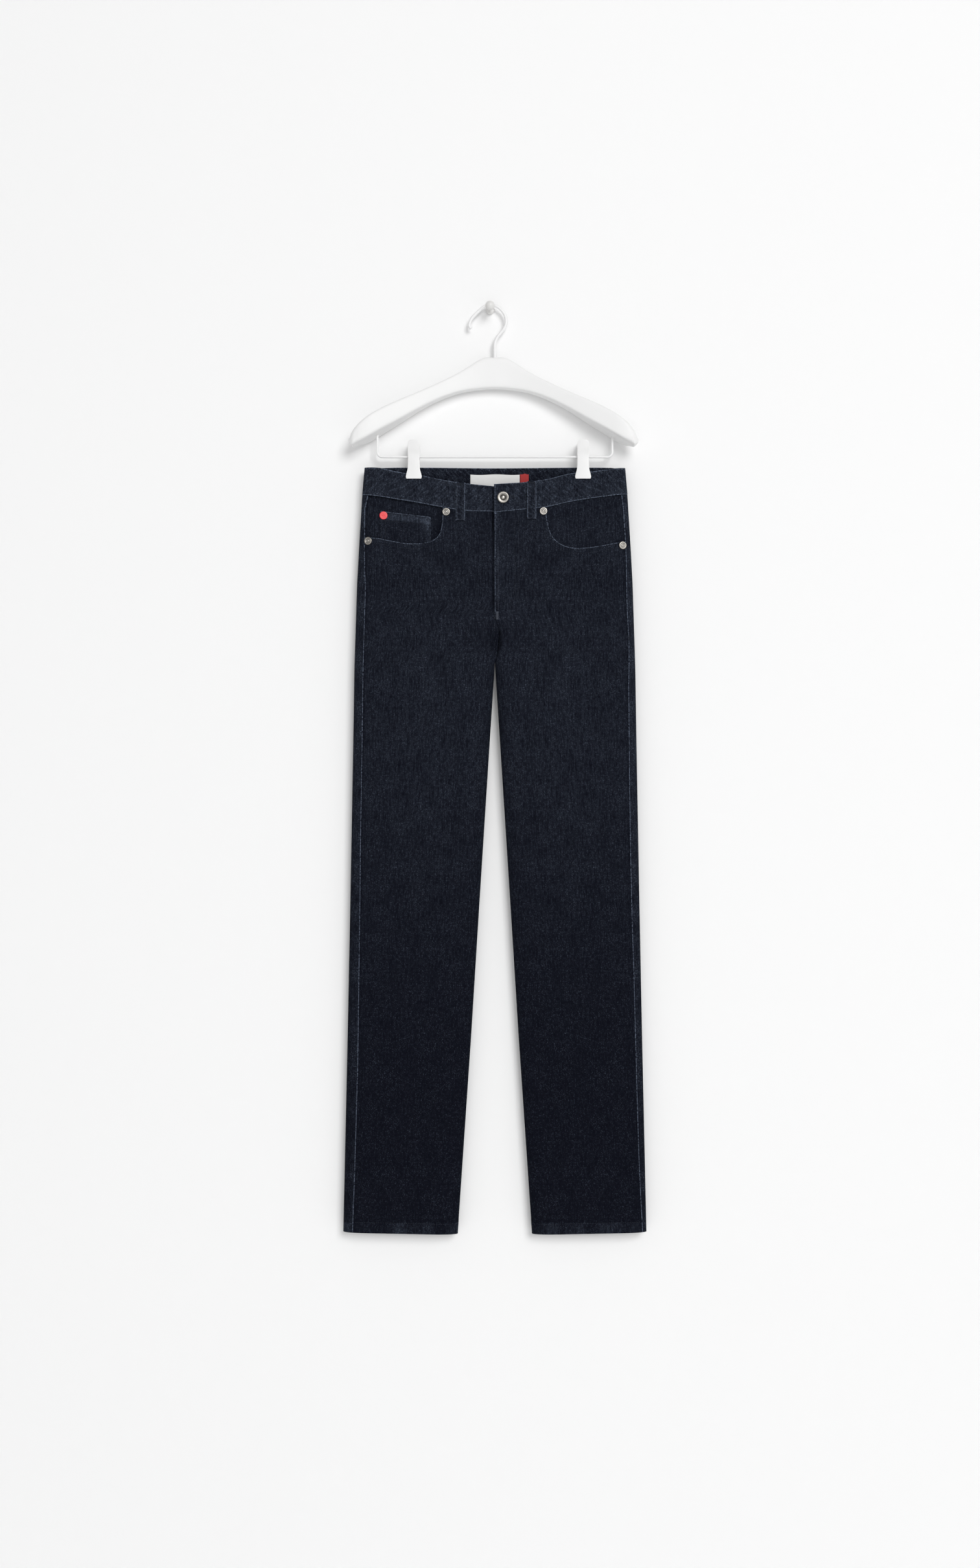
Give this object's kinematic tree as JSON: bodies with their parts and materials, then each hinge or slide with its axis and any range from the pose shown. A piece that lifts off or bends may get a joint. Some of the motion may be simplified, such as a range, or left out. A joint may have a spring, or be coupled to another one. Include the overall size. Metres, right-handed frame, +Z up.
{
  "type": "straight leg jeans on a clip hanger",
  "caption": "Dark denim straight leg jeans with coin pocket and patch back pockets, clipped by the waistband under a white trouser hanger on a wall peg.",
  "frame": {"origin": "centre of the wall peg's flat face against the wall, from which everything hangs", "axes": "+X to the right as the jeans' front is seen (the wearer's left), +Y into the wall, +Z up"},
  "size_m": [0.4228, 0.0399, 1.2994],
  "materials": {
    "denim": "dark indigo denim, washed",
    "denim_band": "dark indigo denim, double",
    "metal": "antique nickel",
    "red_metal": "red lacquer",
    "label": "white woven tape, blank",
    "red_tab": "red woven tape, blank",
    "hanger_white": "satin white",
    "clip_white": "satin white",
    "wire": "white-coated wire",
    "peg": "brushed nickel"
  },
  "bodies": {
    "root": {"front_right": "denim", "front_left": "denim", "back_right": "denim", "back_left": "denim", "yoke_right": "denim", "yoke_left": "denim", "hem_right": "denim", "hem_left": "denim", "pocket_facing_right": "denim", "pocket_facing_left": "denim", "coin_pocket": "denim", "back_pocket_right": "denim", "back_pocket_left": "denim", "waistband_right": "denim_band", "waistband_left": "denim_band", "waistband_back": "denim_band", "belt_loop_front_right": "denim_band", "belt_loop_front_left": "denim_band", "belt_loop_back_right": "denim_band", "belt_loop_back_middle": "denim_band", "belt_loop_back_left": "denim_band", "button": "metal", "rivet_inner_right": "metal", "rivet_inner_left": "metal", "rivet_outer_right": "metal", "rivet_outer_left": "metal", "rivet_red": "red_metal", "waist_label": "label", "waist_tab": "red_tab", "hanger_body": "hanger_white", "clip_right_front_jaw": "clip_white", "clip_right_back_jaw": "clip_white", "clip_left_front_jaw": "clip_white", "clip_left_back_jaw": "clip_white", "hook": "wire", "trouser_bar": "wire", "clip_right_spring": "wire", "clip_left_spring": "wire", "wall_peg": "peg"}
  },
  "joints": []
}
